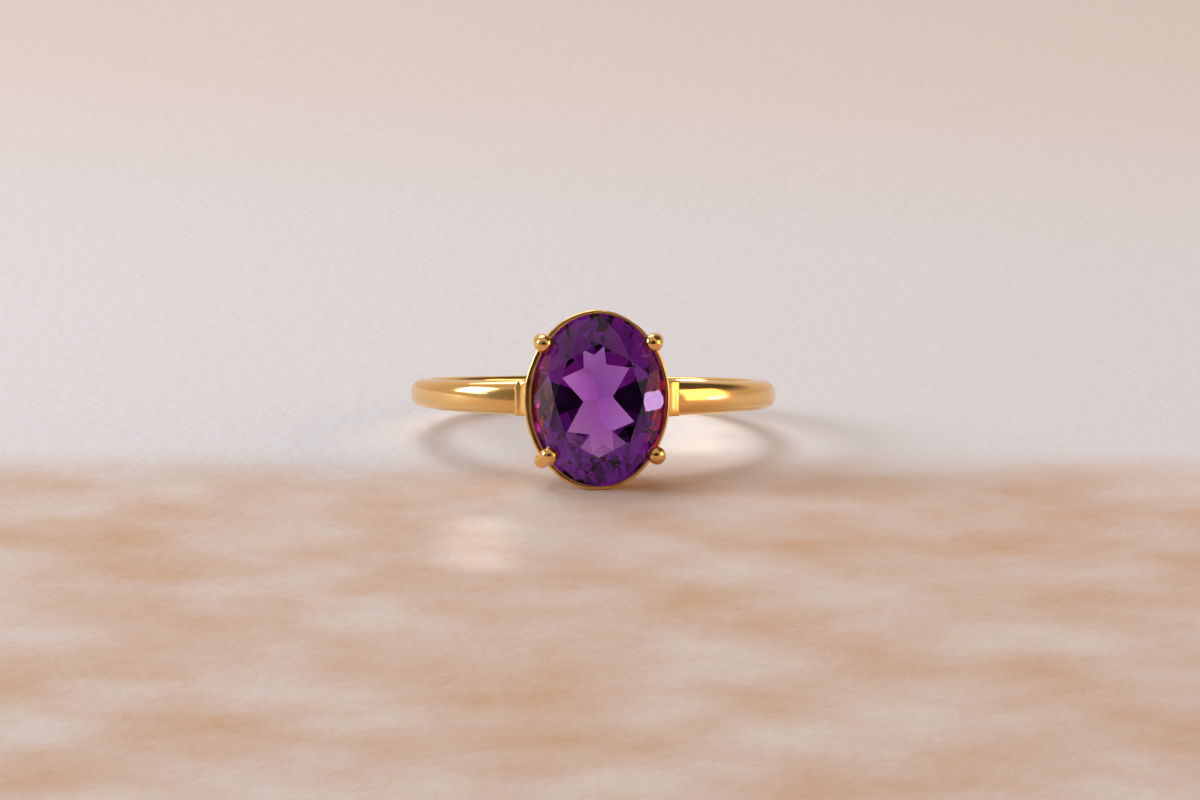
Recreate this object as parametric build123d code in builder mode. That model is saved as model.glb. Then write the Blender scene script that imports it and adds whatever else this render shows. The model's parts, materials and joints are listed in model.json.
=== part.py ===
from build123d import *
from math import atan2, cos, radians, sin, sqrt
import os

os.makedirs("parts", exist_ok=True)

# Oval amethyst ring, lying on its side on a table. +Z is up, the stone looks along -Y and a
# little upwards, and X runs across the ring. Millimetres and degrees. The ring rests on two
# edges: the lower edge of the rim round the stone, and the lower edge of the band's back.

# ---- Driving dimensions ----
# Band: flat inside, low dome outside, widening towards the stone
finger_diameter = 17.35
band_thickness = 1.25
band_width_back = 1.5
band_width_front = 1.95
band_dome = 0.35           # how far the dome stands above the band's edges at full width
band_edge_round = 0.12

# Stone: oval brilliant
stone_length = 9.0
stone_width = 7.0
girdle_thickness = 0.2
crown_height = 1.15
pavilion_depth = 3.0
table_share = 0.66         # width of the table as a share of the stone's width
star_share = 0.5           # how far the star facets reach from the table to the girdle
pavilion_turn = 7.0        # how far the pavilion was cut turned from the crown

# Collar: thin oval strip round the stone, with a seat inside it
stone_gap = 0.01
rim_wall = 0.2
rim_lip = 0.12
rim_round = 0.05
seat_width = 0.35
collar_depth = 1.9
collar_taper = 0.55        # how far each side leans in from rim to foot
culet_clearance = 0.4      # from the stone's point to the finger

# Base ring: oval under the collar, its underside filed to the finger
base_length = 7.0
base_width = 5.2
base_wall = 0.75
base_height = 0.9
base_round = 0.12

# Prongs: round wire with a ball at the tip. Each has its place on the oval, as the azimuth of
# its parametric circle, and how far the middle of its ball stands outside the stone's edge.
# They were bent by hand, so no two are quite alike.
prong_places = {
    "prong_upper_right": (40.0, 0.18),
    "prong_upper_left": (141.0, 0.18),
    "prong_lower_left": (221.0, -0.1),
    "prong_lower_right": (323.0, 0.26),
}
prong_wire = 0.8
prong_ball = 0.97
prong_bite = 0.15          # how deep the wire is let into the collar and the base ring
ball_lift = 0.28           # from the top of the girdle up to the middle of the ball
prong_bend_radius = 0.5

# Shoulders: small fillers between band and collar
shoulder_reach = 4.35      # from the middle of the ring to the step on the band
shoulder_toe = 0.12
shoulder_climb = 0.8       # how far they climb the collar from its foot
shoulder_sag = 0.3         # hollow of their curved face
shoulder_flare = 0.15      # how much wider each side is at the collar
shoulder_bite = 0.2

spare = 1.0                # how far a cutting tool passes what it cuts

# ---- Places worked out from them ----
finger_r = finger_diameter / 2
band_r = finger_r + band_thickness
stone_a = stone_width / 2
stone_b = stone_length / 2
girdle_height = finger_r + culet_clearance + pavilion_depth
table_level = girdle_thickness + crown_height
rim_level = girdle_thickness + rim_lip
foot_level = rim_level - collar_depth
rim_a = stone_a + stone_gap + rim_wall
rim_b = stone_b + stone_gap + rim_wall
base_level = finger_r + base_height - girdle_height

# The dome's radius, and the height of the band's outer edge where the band is narrowest
dome_r = (band_width_front**2 / 4 + band_dome**2) / (2 * band_dome)
back_edge_r = band_r - dome_r + sqrt(dome_r**2 - band_width_back**2 / 4)

# The tilt that sets both resting edges on the table, and the finger's centre at that tilt
rim_height = girdle_height + rim_level
tilt = atan2(rim_b - band_width_back / 2, rim_height + back_edge_r)
front_reach = (girdle_height + table_level) * cos(tilt) + table_share * stone_b * sin(tilt)
finger_centre = Vector(
    0,
    (front_reach - band_r) / 2,
    back_edge_r * sin(tilt) + band_width_back / 2 * cos(tilt),
)
facing = Vector(0, -cos(tilt), sin(tilt))
finger_line = Axis(finger_centre, Vector(0, sin(tilt), cos(tilt)))

# side_plane looks along the finger, its Y towards the stone. band_plane cuts the band through
# the middle of the stone, its X towards the stone. setting lies in the girdle's lower edge.
side_plane = Plane(origin=finger_centre, x_dir=(-1, 0, 0), z_dir=finger_line.direction)
band_plane = Plane(origin=finger_centre, x_dir=facing, z_dir=(-1, 0, 0))
setting = Plane(origin=finger_centre + facing * girdle_height, x_dir=(1, 0, 0), z_dir=facing)


def on_oval(half_width, half_length, azimuth, outwards, level):
    """A point square outside an oval of the setting, at an azimuth of its parametric circle."""
    angle = radians(azimuth)
    away = Vector(cos(angle) / stone_a, sin(angle) / stone_b, 0).normalized() * outwards
    edge = Vector(half_width * cos(angle), half_length * sin(angle), level)
    return setting.from_local_coords(edge + away)


# ---- Gem: ground facet by facet from an oval blank ----
def facet_plane(azimuth, slope, level, outwards):
    """A facet's plane, by its azimuth on the parametric circle, its fall from the stone's middle
    to the girdle, and its level over the middle. outwards is 1 on the crown and -1 on the
    pavilion, where the slope is below 0."""
    angle = radians(azimuth)
    normal = Vector(slope * cos(angle) / stone_a, slope * sin(angle) / stone_b, 1) * outwards
    middle = setting.from_local_coords(Vector(0, 0, level))
    return Plane(origin=middle, z_dir=setting.from_local_coords(normal) - setting.origin)


# Pavilion facets of one quarter: azimuth, then rise to the girdle and depth under the middle as
# shares of the pavilion's depth. Two flat mains show through the table as a star, and the four
# steeper halves round them meet the girdle. The other quarters are their mirror images.
pavilion_cuts = [
    (31.0, 0.929, 1.000),
    (70.0, 1.090, 1.141),
    (13.0, 1.086, 1.058),
    (41.0, 1.133, 1.113),
    (59.5, 1.205, 1.187),
    (79.5, 1.290, 1.268),
]

# Crown: eight mains, eight stars between them, sixteen halves along the girdle
eighth = 360 / 8
half_step = cos(radians(eighth / 4))
full_step = cos(radians(eighth / 2))
main_slope = crown_height / (1 - table_share)
star_inner = table_share * full_step
star_outer = star_inner + star_share * (1 - star_inner)
star_foot = main_slope * (1 - star_outer * full_step)
star_slope = (crown_height - star_foot) / (star_outer - star_inner)
half_slope = star_foot / (half_step * (1 - star_outer))

main_level = girdle_thickness + main_slope
star_level = table_level + star_slope * star_inner
half_level = girdle_thickness + half_slope * half_step

with BuildPart() as gem:
    with BuildSketch(setting.offset(-pavilion_depth)):
        Ellipse(stone_a, stone_b)
    extrude(amount=pavilion_depth + table_level)
    for azimuth, rise_share, depth_share in pavilion_cuts:
        slope = -rise_share * pavilion_depth
        level = -depth_share * pavilion_depth
        for mirrored in (azimuth, 180 - azimuth, 180 + azimuth, -azimuth):
            cut = facet_plane(mirrored + pavilion_turn, slope, level, -1)
            split(bisect_by=cut, keep=Keep.BOTTOM)
    for step in range(8):
        main = step * eighth
        split(bisect_by=facet_plane(main, main_slope, main_level, 1), keep=Keep.BOTTOM)
        for half in (main + eighth / 4, main - eighth / 4):
            split(bisect_by=facet_plane(half, half_slope, half_level, 1), keep=Keep.BOTTOM)
        split(bisect_by=facet_plane(main + eighth / 2, star_slope, star_level, 1),
              keep=Keep.BOTTOM)
gem.part.label = "gem"

# ---- Collar: tapered strip, bored for the stone, with a seat that takes the pavilion ----
with BuildPart() as collar:
    with BuildSketch(setting.offset(rim_level)):
        Ellipse(rim_a, rim_b)
    with BuildSketch(setting.offset(foot_level)):
        Ellipse(rim_a - collar_taper, rim_b - collar_taper)
    loft()
    with BuildSketch(setting.offset(rim_level)):
        Ellipse(stone_a - seat_width, stone_b - seat_width)
    with BuildSketch(setting.offset(foot_level)):
        Ellipse(stone_a - seat_width - collar_taper, stone_b - seat_width - collar_taper)
    loft(mode=Mode.SUBTRACT)
    with BuildSketch(setting):
        Ellipse(stone_a + stone_gap, stone_b + stone_gap)
    extrude(amount=rim_level, mode=Mode.SUBTRACT)
    add(gem.part, mode=Mode.SUBTRACT)
    fillet(collar.edges().group_by(Axis(setting.origin, facing))[-1], rim_round)
collar.part.label = "collar"

# ---- Base ring: its underside follows the finger ----
with BuildPart() as base_ring:
    with BuildSketch(setting.offset(base_level)):
        Ellipse(base_width / 2, base_length / 2)
        Ellipse(base_width / 2 - base_wall, base_length / 2 - base_wall, mode=Mode.SUBTRACT)
    extrude(amount=-base_height - spare)
    fillet(base_ring.edges().group_by(Axis(setting.origin, facing))[-1], base_round)
    with BuildSketch(side_plane):
        Circle(finger_r)
    extrude(amount=base_length, both=True, mode=Mode.SUBTRACT)
base_ring.part.label = "base_ring"

# ---- Shank: one low-domed band, open where it meets the base ring ----
with BuildPart() as shank:
    with BuildSketch(band_plane):
        with BuildLine():
            half_width = band_width_front / 2
            edge_r = band_r - band_dome
            Polyline((edge_r, -half_width), (finger_r, -half_width), (finger_r, half_width),
                     (edge_r, half_width))
            ThreePointArc((edge_r, half_width), (band_r, 0), (edge_r, -half_width))
        make_face()
    revolve(axis=finger_line)
    with BuildSketch(band_plane):
        with BuildLine():
            Polyline((0, band_width_back / 2), (-band_r - spare, band_width_back / 2),
                     (-band_r - spare, 0))
            TangentArc((0, band_width_back / 2), (band_r, band_width_front / 2), tangent=(1, 0))
            Line((band_r, band_width_front / 2), (band_r, 0))
            mirror(about=Plane.XZ)
        make_face()
    extrude(amount=band_r + spare, both=True, mode=Mode.INTERSECT)
    with BuildSketch(side_plane):
        Rectangle(base_width - 2 * shoulder_bite, band_r + spare, align=(Align.CENTER, Align.MIN))
    extrude(amount=band_width_front, both=True, mode=Mode.SUBTRACT)
    long_edges = shank.edges().filter_by(lambda edge: edge.length > 2 * band_width_front)
    fillet(long_edges, band_edge_round)
    add(base_ring.part, mode=Mode.SUBTRACT)
shank.part.label = "shank"

# ---- Shoulders: hollow-faced fillers standing on the band's ends, against the collar ----
foot_height = girdle_height + foot_level
foot_a = rim_a - collar_taper
climb_a = foot_a + collar_taper * shoulder_climb / collar_depth
toe_height = sqrt(band_r**2 - shoulder_reach**2)
toe_half_width = band_width_front / 2
top_half_width = toe_half_width + shoulder_flare

# side is 1 on the left of the stone as it is looked at, where side_plane has its +X
for name, side in (("shoulder_left", 1), ("shoulder_right", -1)):
    with BuildPart() as shoulder:
        with BuildSketch(side_plane):
            with BuildLine():
                toe = (side * shoulder_reach, toe_height + shoulder_toe)
                top = (side * (climb_a - shoulder_bite), foot_height + shoulder_climb)
                inside = side * (base_width / 2 - shoulder_bite)
                SagittaArc(toe, top, side * shoulder_sag)
                Polyline(top, (side * (foot_a - shoulder_bite), foot_height),
                         (inside, finger_r + base_height), (inside, finger_r),
                         (side * shoulder_reach, toe_height - band_thickness / 2), toe)
            make_face()
        extrude(amount=top_half_width, both=True)
        with BuildSketch(setting):
            with BuildLine():
                Polyline((0, top_half_width), (-side * foot_a, top_half_width),
                         (-side * shoulder_reach, toe_half_width), (-side * shoulder_reach, 0))
                mirror(about=Plane.XZ)
                Line((0, -top_half_width), (0, top_half_width))
            make_face()
        extrude(amount=girdle_height, both=True, mode=Mode.INTERSECT)
        add(collar.part, mode=Mode.SUBTRACT)
        add(base_ring.part, mode=Mode.SUBTRACT)
        add(shank.part, mode=Mode.SUBTRACT)
    shoulder.part.label = name
    export_step(shoulder.part, f"parts/{name}.step")

# ---- Prongs: wires let into the base ring and the collar, bent over the stone's edge ----
wire_reach = prong_wire / 2 - prong_bite
heel_level = base_level - base_height / 2
tip_level = girdle_thickness + ball_lift
for name, (azimuth, ball_overhang) in prong_places.items():
    heel = on_oval(base_width / 2, base_length / 2, azimuth, wire_reach, heel_level)
    knee = on_oval(rim_a, rim_b, azimuth, wire_reach, 0)
    tip = on_oval(stone_a, stone_b, azimuth, ball_overhang, tip_level)
    away = knee - setting.origin
    with BuildPart() as prong:
        with BuildLine():
            FilletPolyline(heel, knee, tip, radius=prong_bend_radius)
        with BuildSketch(Plane(origin=heel, x_dir=away, z_dir=knee - heel)):
            Circle(prong_wire / 2)
        sweep()
        with Locations(Plane(origin=tip, x_dir=away, z_dir=tip - knee)):
            Sphere(prong_ball / 2)
        add(base_ring.part, mode=Mode.SUBTRACT)
        add(collar.part, mode=Mode.SUBTRACT)
        add(gem.part, mode=Mode.SUBTRACT)
    prong.part.label = name
    export_step(prong.part, f"parts/{name}.step")

for piece in (gem, collar, base_ring, shank):
    export_step(piece.part, f"parts/{piece.part.label}.step")
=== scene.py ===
import json
from math import atan2, cos, pi, radians, sin, sqrt

import bmesh
import bpy
from mathutils import Matrix, Vector, noise


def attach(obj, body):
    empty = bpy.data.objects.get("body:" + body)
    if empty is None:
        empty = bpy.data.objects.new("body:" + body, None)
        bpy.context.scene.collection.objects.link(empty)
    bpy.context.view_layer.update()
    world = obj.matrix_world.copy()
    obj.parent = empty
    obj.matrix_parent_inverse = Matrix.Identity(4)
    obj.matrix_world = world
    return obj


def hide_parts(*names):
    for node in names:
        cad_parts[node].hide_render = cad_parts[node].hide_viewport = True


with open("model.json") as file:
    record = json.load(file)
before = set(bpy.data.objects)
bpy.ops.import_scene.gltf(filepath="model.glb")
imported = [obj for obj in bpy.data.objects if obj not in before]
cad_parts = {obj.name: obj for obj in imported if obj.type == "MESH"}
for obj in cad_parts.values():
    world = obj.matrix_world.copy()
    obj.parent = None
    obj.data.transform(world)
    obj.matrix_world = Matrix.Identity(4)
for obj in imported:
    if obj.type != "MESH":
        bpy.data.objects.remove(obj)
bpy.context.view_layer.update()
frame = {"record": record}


# ---- Shank ----
# The band is one strip of drawn D wire in yellow gold, bent round a mandrel. Its inside is flat
# with eased corners, its outside a low dome. It is soldered to the base ring at both ends, so
# it stays open under the stone.

# Pieces are built in the ring's own millimetres: X across the ring, Y along the finger, and Z
# from the finger's centre out through the stone. ring turns that into the frame's metres.
bore = next(mount for mount in frame["record"]["mounts"] if mount["name"] == "finger_bore")
finger = Vector(bore["axis"]).normalized()
across = Vector((1, 0, 0))
ring_axes = Matrix((across, finger, across.cross(finger))).transposed().to_4x4()
ring = Matrix.Translation(bore["pos_m"]) @ ring_axes @ Matrix.Scale(0.001, 4)

finger_r = bore["dims"]["r_mm"]
band_thickness = 1.25
band_r = finger_r + band_thickness
band_width_back = 1.5
band_width_front = 1.95
band_end = 2.45


def linear(hex_code):
    """An sRGB hex colour as the linear RGBA that a socket takes."""
    parts = [int(hex_code[i:i + 2], 16) / 255 for i in (0, 2, 4)]
    return [p / 12.92 if p <= 0.04045 else ((p + 0.055) / 1.055) ** 2.4 for p in parts] + [1]


def add_node(tree, kind, settings, **sockets):
    """Adds a node, sets its settings, and sets or links its inputs. Socket names use _ for a
    space, and a socket that is repeated, as on Math, is named by its number, as in i1."""
    made = tree.nodes.new(kind)
    for name, value in settings.items():
        setattr(made, name, value)
    for name, value in sockets.items():
        key = int(name[1:]) if name[0] == "i" and name[1:].isdigit() else name.replace("_", " ")
        if isinstance(value, bpy.types.NodeSocket):
            tree.links.new(value, made.inputs[key])
        else:
            made.inputs[key].default_value = value
    return made


def new_tree(name):
    """A material with an empty node tree and its output node."""
    material = bpy.data.materials.new(name)
    material.use_nodes = True
    material.node_tree.nodes.clear()
    return material, material.node_tree, material.node_tree.nodes.new("ShaderNodeOutputMaterial")


def polished_gold(name, hex_code, roughness, scratch_mm, scratch_depth):
    """Yellow gold, filed, sanded and buffed on a mop. It gives the eye a warm clean mirror that
    is broken by soft buffing ripples, hair scratches and a few duller worn patches."""
    material, tree, output = new_tree(name)
    place = add_node(tree, "ShaderNodeTexCoord", {}).outputs["Object"]
    wear = add_node(tree, "ShaderNodeTexNoise", {}, Vector=place, Scale=1000 / 1.4, Detail=4.0)
    dull = add_node(tree, "ShaderNodeMapRange", {}, Value=wear.outputs["Fac"], From_Min=0.35,
                    From_Max=0.7, To_Min=roughness * 0.7, To_Max=roughness * 1.6)
    drawn = add_node(tree, "ShaderNodeMapping", {}, Vector=place, Scale=(1, 1, 9),
                     Rotation=(0.3, 0.5, 0.2))
    hair = add_node(tree, "ShaderNodeTexNoise", {}, Vector=drawn.outputs["Vector"],
                    Scale=1000 / scratch_mm, Detail=3.0, Roughness=0.7)
    ripple = add_node(tree, "ShaderNodeTexNoise", {}, Vector=place, Scale=1000 / 0.9, Detail=1.0)
    relief = add_node(tree, "ShaderNodeMath", {"operation": "MULTIPLY_ADD"},
                      i0=hair.outputs["Fac"], i1=0.25, i2=ripple.outputs["Fac"])
    bump = add_node(tree, "ShaderNodeBump", {}, Height=relief.outputs["Value"], Strength=1.0,
                    Distance=scratch_depth)
    tint = add_node(tree, "ShaderNodeMix", {"data_type": "RGBA"}, Factor=wear.outputs["Fac"])
    tint.inputs["A"].default_value = linear(hex_code)
    tint.inputs["B"].default_value = [c * 0.93 for c in linear(hex_code)[:3]] + [1]
    shader = add_node(tree, "ShaderNodeBsdfPrincipled", {}, Base_Color=tint.outputs["Result"],
                      Metallic=1.0, Roughness=dull.outputs["Result"],
                      Normal=bump.outputs["Normal"])
    tree.links.new(shader.outputs["BSDF"], output.inputs["Surface"])
    return material


def piece(name, rows, material, closed_rows=True, capped=False, smooth=True):
    """A mesh through rows of points, all of one length and each a closed loop. The last row
    joins the first if closed_rows, and the two end rows are filled if capped."""
    mesh = bmesh.new()
    grid = [[mesh.verts.new(ring @ Vector(point)) for point in row] for row in rows]
    count = len(rows[0])
    for i in range(len(grid) if closed_rows else len(grid) - 1):
        near, far = grid[i], grid[(i + 1) % len(grid)]
        for j in range(count):
            k = (j + 1) % count
            mesh.faces.new((near[j], near[k], far[k], far[j]))
    if capped:
        mesh.faces.new(grid[0])
        mesh.faces.new(grid[-1])
    bmesh.ops.recalc_face_normals(mesh, faces=mesh.faces)
    return finish_piece(name, mesh, material, smooth)


def finish_piece(name, mesh, material, smooth):
    """Turns a finished bmesh into an object with its material, and puts it in the scene."""
    data = bpy.data.meshes.new(name)
    mesh.to_mesh(data)
    mesh.free()
    for face in data.polygons:
        face.use_smooth = smooth
    data.materials.append(material)
    made = bpy.data.objects.new(name, data)
    bpy.context.scene.collection.objects.link(made)
    return made


def swell(value, power):
    """The sign of a value with its size raised to a power, for squared-off ovals."""
    return (1 if value >= 0 else -1) * abs(value) ** power


def hand(x, y, z, size_mm):
    """Slow unevenness of hand work, from -1 to 1, that repeats over about size_mm."""
    return noise.noise(Vector((x, y, z)) / size_mm)


band_gold = polished_gold("buffed_yellow_gold_band", "FBCB80", 0.13, 0.12, 0.0000016)
band_flat = 0.5            # from the finger up to where the dome begins
rows = []
start = atan2(band_end, sqrt(finger_r**2 - band_end**2))
for step in range(420):
    turn = start + (2 * pi - 2 * start) * step / 419
    forward = max(0.0, cos(turn))
    half_width = (band_width_back + (band_width_front - band_width_back) * forward**2) / 2
    row = []
    for k in range(56):
        angle = 2 * pi * k / 56
        side, height = cos(angle), sin(angle)
        square = 0.78 if height > 0 else 0.42
        reach = band_thickness - band_flat if height > 0 else band_flat
        y = half_width * swell(side, square)
        r = finger_r + band_flat + reach * swell(height, square)
        r += 0.012 * hand(sin(turn) * band_r, y, cos(turn) * band_r, 2.6) * max(height, 0)
        y += 0.012 * hand(sin(turn) * band_r, 7, cos(turn) * band_r, 3.0) * side
        row.append((r * sin(turn), y, r * cos(turn)))
    rows.append(row)
band = piece("band", rows, band_gold, closed_rows=False, capped=True)
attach(band, "root")
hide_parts("shank")


# ---- Collar ----
# A strip of gold sheet bent to an oval, soldered and bored from above to a seat for the stone.
# Its upper edge stands round the stone as a thin rim, filed by hand, so its width varies.

stone_a = 3.5
stone_b = 4.5
pavilion_depth = 3.0
culet_clearance = 0.4      # from the stone's point to the finger
girdle_height = finger_r + culet_clearance + pavilion_depth
girdle_thickness = 0.2
rim_lip = 0.12
rim_level = girdle_thickness + rim_lip
collar_depth = 1.9
foot_level = rim_level - collar_depth
seat_level = -0.38
seat_width = 0.35
stone_gap = 0.012
taper = 0.55


def oval(offset, angle, level, a=stone_a, b=stone_b):
    """A point on an oval whose half-axes are a and b plus offset, at a level over the girdle's
    lower edge."""
    return ((a + offset) * cos(angle), (b + offset) * sin(angle), girdle_height + level)


rim_wall = 0.195
rim_edge_round = 0.11
bevel_points = 6
foot_round = 0.05

rim_gold = polished_gold("filed_yellow_gold_rim", "F8C474", 0.19, 0.08, 0.0000026)
rows = []
for step in range(480):
    angle = 2 * pi * step / 480
    side, end = cos(angle), sin(angle)
    filed = 0.03 * noise.noise(Vector((side * 2.2, end * 2.2, 0.5)))
    filed += 0.016 * noise.noise(Vector((side * 9, end * 9, 1.5)))
    # Solder thickens the rim at both sides, and more on the left than on the right.
    rim = rim_wall + 0.1 * side**2 - 0.085 * side + filed
    lip = rim_level + 0.03 * noise.noise(Vector((side * 5, end * 5, 4.5)))
    profile = []
    for bevel in range(bevel_points):
        turn = pi / 2 * bevel / (bevel_points - 1)
        profile.append((rim + rim_edge_round * (sin(turn) - 1),
                        lip + rim_edge_round * (cos(turn) - 1)))
    for share in (0.25, 0.5, 0.75, 0.97):
        bow = 0.02 * sin(pi * share)
        profile.append((rim - taper * share - bow, lip + (foot_level - lip) * share))
    foot = rim - taper
    inner_foot = -seat_width - taper
    profile += [
        (foot - 0.03, foot_level),
        (inner_foot + foot_round, foot_level),
        (inner_foot + 0.01, foot_level + foot_round),
        (-seat_width - taper * 0.5, (foot_level + seat_level) / 2),
        (-seat_width, seat_level - 0.01),
        (-seat_width + 0.03, seat_level + 0.01),
        (0.0, -0.06),
        (stone_gap, 0.0),
        (stone_gap, lip - rim_edge_round),
        (0.03, lip - 0.02),
        (0.06, lip),
    ]
    rows.append([oval(offset, angle, level) for offset, level in profile])
collar = piece("collar_strip", rows, rim_gold)
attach(collar, "root")
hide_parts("collar")


# ---- Base ring ----
# A smaller oval of square gold wire under the collar. Its underside is filed to the finger,
# and the prongs and the band's two ends are soldered to its outside.

base_a = 2.6
base_b = 3.5
base_wall = 0.75
base_height = 0.9
base_top = finger_r + base_height

rows = []
for step in range(192):
    angle = 2 * pi * step / 192
    row = []
    for k in range(28):
        turn = 2 * pi * k / 28
        offset = -base_wall / 2 + base_wall / 2 * swell(cos(turn), 0.5)
        offset += 0.01 * noise.noise(Vector((cos(angle) * 3, sin(angle) * 3, 9.5)))
        x, y, _ = oval(offset, angle, 0, base_a, base_b)
        under = sqrt(finger_r**2 - min(x, finger_r) ** 2)
        middle = (base_top + under) / 2
        row.append((x, y, middle + (base_top - under) / 2 * swell(sin(turn), 0.5)))
    rows.append(row)
base = piece("base_ring_wire", rows, rim_gold)
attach(base, "root")
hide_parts("base_ring")


# ---- Gem ----
# Amethyst, purple quartz, cut as an oval brilliant: eight flat pavilion mains that show as a
# pale star, steeper halves round them, and a crown of mains, stars and halves. It is held by
# the collar's seat below and the four prongs above.

crown_height = 1.15
table_share = 0.66
star_share = 0.5
pavilion_turn = radians(7)
# Azimuth of a facet in one quarter, and its rise to the girdle and depth under the middle, as
# shares of the pavilion's depth: two mains, then four halves.
pavilion_cuts = [
    (31, 0.929, 1.000),
    (70, 1.090, 1.141),
    (13, 1.086, 1.058),
    (41, 1.133, 1.113),
    (59.5, 1.205, 1.187),
    (79.5, 1.290, 1.268),
]


def facet(azimuth, slope, level, outwards):
    """A facet's plane as its outward normal and its distance from the stone's middle. It has
    this level over the middle and falls by slope to the girdle. outwards is 1 on the crown
    and -1 on the pavilion, where slope is negative."""
    normal = Vector((slope * cos(azimuth) / stone_a, slope * sin(azimuth) / stone_b, 1))
    normal *= outwards
    length = normal.length
    return normal / length, outwards * level / length


facets = []
for azimuth, rise_share, depth_share in pavilion_cuts:
    for mirrored in (azimuth, 180 - azimuth, 180 + azimuth, -azimuth):
        facets.append(facet(radians(mirrored) + pavilion_turn, -rise_share * pavilion_depth,
                            -depth_share * pavilion_depth, -1))
half_step = cos(pi / 16)
full_step = cos(pi / 8)
main_slope = crown_height / (1 - table_share)
star_inner = table_share * full_step
star_outer = star_inner + star_share * (1 - star_inner)
star_foot = main_slope * (1 - star_outer * full_step)
star_slope = (crown_height - star_foot) / (star_outer - star_inner)
half_slope = star_foot / (half_step * (1 - star_outer))
for step in range(8):
    main = step * pi / 4
    facets.append(facet(main, main_slope, girdle_thickness + main_slope, 1))
    for half in (main - pi / 16, main + pi / 16):
        facets.append(facet(half, half_slope, girdle_thickness + half_slope * half_step, 1))
    facets.append(facet(main + pi / 8, star_slope,
                        girdle_thickness + crown_height + star_slope * star_inner, 1))
facets.append(facet(0, 0, girdle_thickness + crown_height, 1))

# Cut and polished quartz. It gives the eye a deep purple that pales where the path through the
# stone is short, faint zones of colour, and flat mirrors with a trace of polishing marks.
amethyst, tree, output = new_tree("polished_amethyst")
place = add_node(tree, "ShaderNodeTexCoord", {}).outputs["Object"]
zones = add_node(tree, "ShaderNodeTexNoise", {}, Vector=place, Scale=1000 / 2.2, Detail=1.0)
polish = add_node(tree, "ShaderNodeTexNoise", {}, Vector=place, Scale=1000 / 0.5, Detail=3.0)
tint = add_node(tree, "ShaderNodeMix", {"data_type": "RGBA"}, Factor=zones.outputs["Fac"])
tint.inputs["A"].default_value = linear("FFFFFF")
tint.inputs["B"].default_value = linear("DCCCF6")
dull = add_node(tree, "ShaderNodeMapRange", {}, Value=polish.outputs["Fac"], From_Min=0.4,
                From_Max=0.75, To_Min=0.0, To_Max=0.02)
bump = add_node(tree, "ShaderNodeBump", {}, Height=polish.outputs["Fac"], Strength=1.0,
                Distance=0.0000004)
shader = add_node(tree, "ShaderNodeBsdfPrincipled", {}, Base_Color=tint.outputs["Result"],
                  Roughness=dull.outputs["Result"], IOR=1.544, Transmission_Weight=1.0,
                  Normal=bump.outputs["Normal"])
depth = add_node(tree, "ShaderNodeVolumeAbsorption", {}, Density=490.0)
depth.inputs["Color"].default_value = (0.65, 0.055, 0.79, 1)
tree.links.new(shader.outputs["BSDF"], output.inputs["Surface"])
tree.links.new(depth.outputs["Volume"], output.inputs["Volume"])

mesh = bmesh.new()
girdle_points = 128
lower, upper = [
    [mesh.verts.new((stone_a * cos(2 * pi * i / girdle_points),
                     stone_b * sin(2 * pi * i / girdle_points), level))
     for i in range(girdle_points)]
    for level in (-pavilion_depth * 1.3, 2 * crown_height)
]
mesh.faces.new(reversed(lower))
mesh.faces.new(upper)
for i in range(girdle_points):
    j = (i + 1) % girdle_points
    mesh.faces.new((lower[i], lower[j], upper[j], upper[i]))
for normal, distance in facets:
    parts = mesh.verts[:] + mesh.edges[:] + mesh.faces[:]
    cut = bmesh.ops.bisect_plane(mesh, geom=parts, dist=1e-5, plane_co=normal * distance,
                                 plane_no=normal, clear_outer=True)
    rim_edges = [part for part in cut["geom_cut"] if isinstance(part, bmesh.types.BMEdge)]
    if rim_edges:
        bmesh.ops.contextual_create(mesh, geom=rim_edges)
bmesh.ops.remove_doubles(mesh, verts=mesh.verts, dist=1e-3)
onto_seat = ring @ Matrix.Translation((0, 0, girdle_height))
bmesh.ops.transform(mesh, verts=mesh.verts, matrix=onto_seat)
bmesh.ops.recalc_face_normals(mesh, faces=mesh.faces)
gem = finish_piece("amethyst_stone", mesh, amethyst, False)
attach(gem, "root")
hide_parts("gem")


# ---- Prongs ----
# Four round gold wires, let into the base ring and the collar and soldered. Each end was melted
# to a ball, and the ball was pushed over the stone's edge and seated on its facets.

# Azimuth of each prong, and how far the middle of its ball stands outside the stone's edge
prong_places = {
    "prong_upper_right": (40, 0.18),
    "prong_upper_left": (141, 0.18),
    "prong_lower_left": (221, -0.1),
    "prong_lower_right": (323, 0.26),
}
wire_r = 0.4
wire_bite = 0.15           # how deep the wire is let into the collar and the base ring
wire_reach = wire_r - wire_bite
ball_r = 0.485
ball_lift = 0.28
ball_level = girdle_thickness + ball_lift
knee_offset = 0.21
bend = 0.55                # where the bend ends, as a share of the way from knee to ball

prong_gold = polished_gold("melted_yellow_gold_ball", "FAC67A", 0.12, 0.1, 0.0000012)


def clear_of_stone(point, gap=0.006):
    """Moves a point that lies inside the stone out through its nearest facet."""
    place = Vector(point) - Vector((0, 0, girdle_height))
    side = (place.x / stone_a) ** 2 + (place.y / stone_b) ** 2
    if side > 1:
        return Vector(point)
    nearest = max(facets, key=lambda plane: place.dot(plane[0]) - plane[1])
    outside = place.dot(nearest[0]) - nearest[1]
    if outside < gap:
        place += nearest[0] * (gap - outside)
    return place + Vector((0, 0, girdle_height))


def beside_oval(a, b, azimuth, outwards, level):
    """A point square outside an oval of half-axes a and b."""
    away = Vector((cos(azimuth) / stone_a, sin(azimuth) / stone_b, 0)).normalized()
    return Vector((a * cos(azimuth), b * sin(azimuth), girdle_height + level)) + away * outwards


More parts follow.
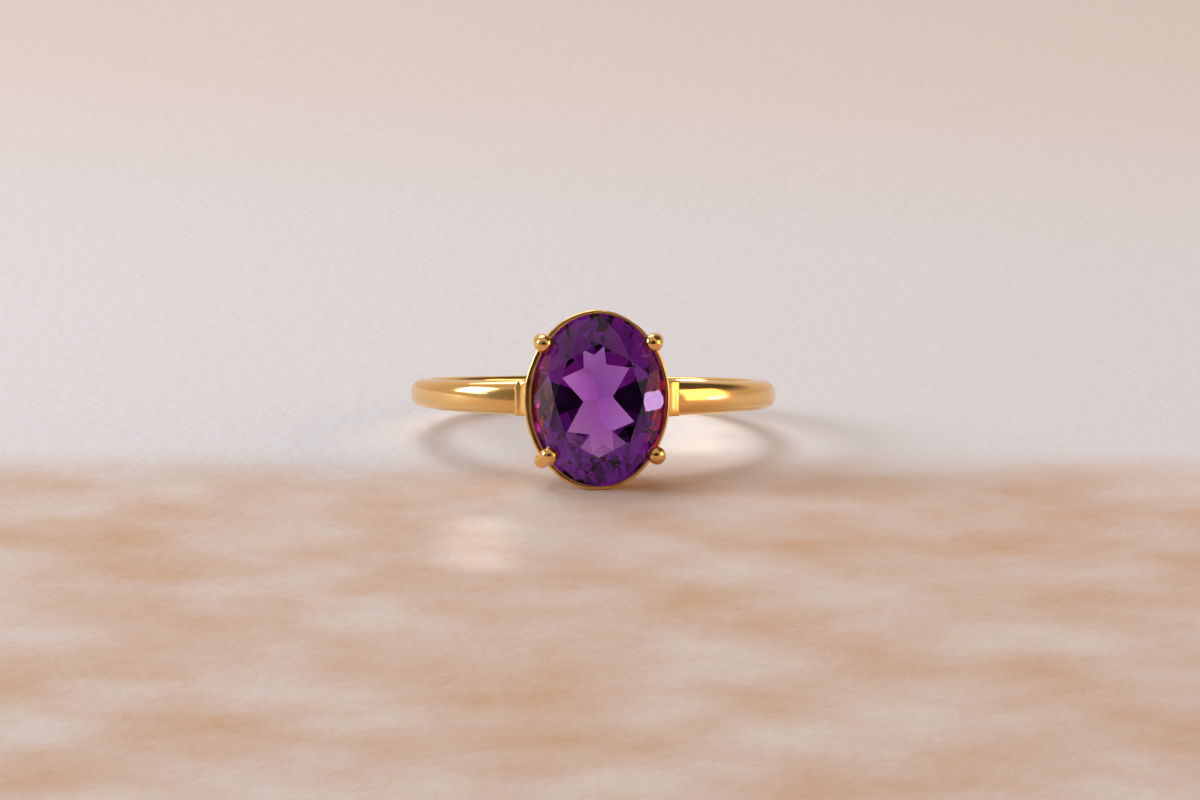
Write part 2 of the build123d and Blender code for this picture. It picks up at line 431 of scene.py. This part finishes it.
for name, (degrees, ball_overhang) in prong_places.items():
    azimuth = radians(degrees)
    heel_level = base_top - 0.45 - girdle_height
    heel = beside_oval(base_a, base_b, azimuth, wire_reach, heel_level)
    knee = beside_oval(stone_a + knee_offset, stone_b + knee_offset, azimuth, wire_reach, 0)
    ball = beside_oval(stone_a, stone_b, azimuth, ball_overhang, ball_level)
    before = knee + (heel - knee).normalized() * bend * 0.6
    after = knee + (ball - knee) * bend
    stations = [heel.lerp(before, i / 24) for i in range(24)]
    for i in range(17):
        t = i / 16
        stations.append(before.lerp(knee, t).lerp(knee.lerp(after, t), t))
    top = ball + (ball - knee).normalized() * ball_r
    for i in range(1, 41):
        t = i / 40
        stations.append(after.lerp(top, 1 - (1 - t) ** 1.6))
    rows = []
    frame_side = Vector((-sin(azimuth), cos(azimuth), 0))
    for i, middle in enumerate(stations):
        near, far = stations[max(i - 1, 0)], stations[min(i + 1, len(stations) - 1)]
        along = (far - near).normalized()
        u = (frame_side - along * frame_side.dot(along)).normalized()
        v = along.cross(u)
        from_ball = (middle - ball).length
        wire = wire_r if (middle - ball).dot(top - ball) < 0 else 0.0
        round_part = sqrt(max(ball_r**2 - from_ball**2, 0.0))
        blend_r = (wire**6 + round_part**6) ** (1 / 6)
        blend_r = max(min(blend_r, ball_r), 0.004)
        row = []
        for k in range(40):
            turn = 2 * pi * k / 40
            point = middle + (u * cos(turn) + v * sin(turn)) * blend_r
            lump = 0.02 * hand(point.x, point.y, point.z, 0.5) if from_ball < 0.7 else 0
            point += (point - middle) * lump
            row.append(clear_of_stone(point))
        rows.append(row)
    prong = piece(name + "_claw", rows, prong_gold, closed_rows=False, capped=True)
    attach(prong, "root")
    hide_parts(name)


# ---- Shoulders ----
# Small gold fillers in the corners between the band's ends and the collar, flooded with solder
# and filed hollow. Each ends on the band in a thin step.

shoulder_reach = 4.35
shoulder_toe = 0.12
shoulder_climb = 0.8       # how far it climbs the collar from its foot
shoulder_inner = 3.0       # where it ends under the collar
toe_height = sqrt(band_r**2 - shoulder_reach**2)
climb = girdle_height + foot_level + shoulder_climb
for name, side in (("shoulder_left", -1), ("shoulder_right", 1)):
    rows = []
    for i in range(33):
        t = i / 32
        x = shoulder_reach + (shoulder_inner - shoulder_reach) * t
        step_up = shoulder_toe * min(1, 9 * t) ** 0.5
        lift = toe_height + step_up + (climb - toe_height) * t**2
        under = sqrt(band_r**2 - x**2) - 0.35
        half = band_width_front / 2 * 0.96 + 0.12 * t**2
        row = []
        for k in range(32):
            turn = 2 * pi * k / 32
            y = half * swell(cos(turn), 0.5)
            z = (lift + under) / 2 + (lift - under) / 2 * swell(sin(turn), 0.35)
            row.append((side * x, y, z))
        rows.append(row)
    filler = piece(name + "_filler", rows, rim_gold, closed_rows=False, capped=True)
    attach(filler, "root")
    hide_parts(name)


# ---- Table, light and camera ----
# The ring lies on a pale plastered table top, between a window on its left and a warm lamp on
# its right.

plaster, tree, output = new_tree("smooth_lime_plaster")
place = add_node(tree, "ShaderNodeTexCoord", {}).outputs["Object"]
cloud = add_node(tree, "ShaderNodeTexNoise", {}, Vector=place, Scale=1000 / 9, Detail=4.0)
spot = add_node(tree, "ShaderNodeSeparateXYZ", {}, Vector=place)
# The plaster is cooler round the ring and warmer far behind. The warmer front is painted warm
# light falling from the front, made patchy by the mottle.
painted_light_front_ramp = add_node(tree, "ShaderNodeMapRange", {"interpolation_type": "SMOOTHSTEP"},
                 Value=spot.outputs["Y"], From_Min=0.0, From_Max=-0.011)
behind = add_node(tree, "ShaderNodeMapRange", {"interpolation_type": "SMOOTHSTEP"},
                  Value=spot.outputs["Y"], From_Min=0.03, From_Max=0.16)
mottle = add_node(tree, "ShaderNodeMapRange", {}, Value=cloud.outputs["Fac"], From_Min=0.3,
                  From_Max=0.7, To_Min=0.35, To_Max=1.0)
# Mask of the painted warm light at the front, made patchy by the mottle
painted_warm_light_mask = add_node(tree, "ShaderNodeMath", {"operation": "MULTIPLY"}, i0=painted_light_front_ramp.outputs["Result"],
                i1=mottle.outputs["Result"])
near = add_node(tree, "ShaderNodeMix", {"data_type": "RGBA"}, Factor=painted_warm_light_mask.outputs["Value"])
near.inputs["A"].default_value = linear("DCDCDE")
# The tone painted where warm light falls at the front
near.inputs["B"].default_value = linear("C8A688")
tone = add_node(tree, "ShaderNodeMix", {"data_type": "RGBA"}, Factor=behind.outputs["Result"],
                A=near.outputs["Result"])
tone.inputs["B"].default_value = linear("DED2CA")
pits = add_node(tree, "ShaderNodeTexNoise", {}, Vector=place, Scale=1000 / 0.8, Detail=5.0)
relief = add_node(tree, "ShaderNodeBump", {}, Height=pits.outputs["Fac"], Strength=0.5,
                  Distance=0.00018)
shader = add_node(tree, "ShaderNodeBsdfPrincipled", {}, Base_Color=tone.outputs["Result"],
                  Roughness=0.75, Specular_IOR_Level=0.35, Normal=relief.outputs["Normal"])
tree.links.new(shader.outputs["BSDF"], output.inputs["Surface"])
mesh = bmesh.new()
bmesh.ops.create_grid(mesh, x_segments=8, y_segments=8, size=1.5)
table = finish_piece("table", mesh, plaster, False)

# From the head to the eye
elevation = radians(11.85)
azimuth = radians(1.4)
view = Vector((-sin(azimuth) * cos(elevation), -cos(azimuth) * cos(elevation), sin(elevation)))

# A pale room, brighter behind. It is dim in front, in one upper corner and low on the left, and
# gold and facets mirror these and get their dark lines from them. Each row is a direction, the
# angles from it where the change begins and is full, and the share of light left there.
world = bpy.data.worlds.new("studio")
bpy.context.scene.world = world
world.use_nodes = True
tree = world.node_tree
way = add_node(tree, "ShaderNodeTexCoord", {}).outputs["Generated"]
light_left = 0.56
for towards, wide, narrow, left in (
    (view, 42, 14, 0.04),
    (Vector((0.62, 0.2, 0.76)), 42, 18, 0.16),
    (Vector((0, 0.98, 0.2)), 60, 25, 1.25),
    (Vector((-0.86, -0.5, 0.1)), 36, 16, 0.4),
):
    facing = add_node(tree, "ShaderNodeVectorMath", {"operation": "DOT_PRODUCT"}, i0=way,
                      i1=towards)
    dim = add_node(tree, "ShaderNodeMapRange", {"interpolation_type": "SMOOTHSTEP"},
                   Value=facing.outputs["Value"], From_Min=cos(radians(wide)),
                   From_Max=cos(radians(narrow)), To_Max=left, To_Min=1.0)
    light_left = add_node(tree, "ShaderNodeMath", {"operation": "MULTIPLY"}, i0=light_left,
                          i1=dim.outputs["Result"]).outputs["Value"]
tree.nodes["Background"].inputs["Color"].default_value = linear("FFEEDD")
tree.links.new(light_left, tree.nodes["Background"].inputs["Strength"])

head = ring @ Vector((0, 0, girdle_height))


def softbox(name, place, size, watts, hex_code):
    """A square area light of a size in metres, aimed at the head."""
    light = bpy.data.lights.new(name, "AREA")
    light.size = size
    light.energy = watts
    light.color = linear(hex_code)[:3]
    lamp = bpy.data.objects.new(name, light)
    lamp.location = place
    lamp.rotation_euler = (head - Vector(place)).to_track_quat("-Z", "Y").to_euler()
    bpy.context.scene.collection.objects.link(lamp)


softbox("window", (-0.38, -0.01, 0.15), 0.16, 1.05, "EEF3FF")
softbox("sky", (-0.12, 0.24, 0.42), 0.30, 1.0, "EEF3FF")
softbox("lamp", (0.38, -0.10, 0.10), 0.24, 0.75, "FFBE80")


def glow(name, x, middle, wide, watts):
    """Three overlapping patches of stray light in a row on the table, wide across each, thrown
    from straight above."""
    height = 0.3
    spacing = 0.7
    for step in (-1, 0, 1):
        light = bpy.data.lights.new(name, "SPOT")
        light.spot_size = 2 * atan2(wide / 2, height)
        light.spot_blend = 1.0
        light.shadow_soft_size = 0.001
        light.energy = watts
        light.color = linear("FFEBD2")[:3]
        lamp = bpy.data.objects.new(name, light)
        lamp.location = (x, middle + spacing * step * wide, height)
        bpy.context.scene.collection.objects.link(lamp)


glow("glow_behind", 0.0052, 0.0042, 0.0060, 1.2)
glow("glow_front", -0.0063, -0.0230, 0.0052, 0.8)

# A small lamp low on the right, seen in the stone's right-hand crown facet
light = bpy.data.lights.new("side_lamp", "AREA")
light.shape = "RECTANGLE"
light.size = 0.010
light.size_y = 0.0011
light.spread = radians(90)
light.energy = 0.00009
light.color = linear("DDB4FF")[:3]
side_lamp = bpy.data.objects.new("side_lamp", light)
side_lamp.location = head + Vector((0.042, -0.0008, -0.0010))
side_lamp.rotation_euler = (head - side_lamp.location).to_track_quat("-Z", "Y").to_euler()
side_lamp.visible_camera = False
bpy.context.scene.collection.objects.link(side_lamp)

distance = 0.274
camera_data = bpy.data.cameras.new("camera")
camera_data.lens = 157.5
camera_data.sensor_width = 36
camera = bpy.data.objects.new("camera", camera_data)
target = head + Vector((0.00008, 0, 0))
level_view = view.to_track_quat("Z", "Y").to_matrix().to_4x4()
roll = Matrix.Rotation(radians(0.5), 4, "Z")
camera.matrix_world = Matrix.Translation(target + view * distance) @ level_view @ roll
camera_data.clip_start = 0.01
bpy.context.scene.collection.objects.link(camera)
bpy.context.scene.camera = camera
bpy.context.scene.view_settings.view_transform = "Standard"
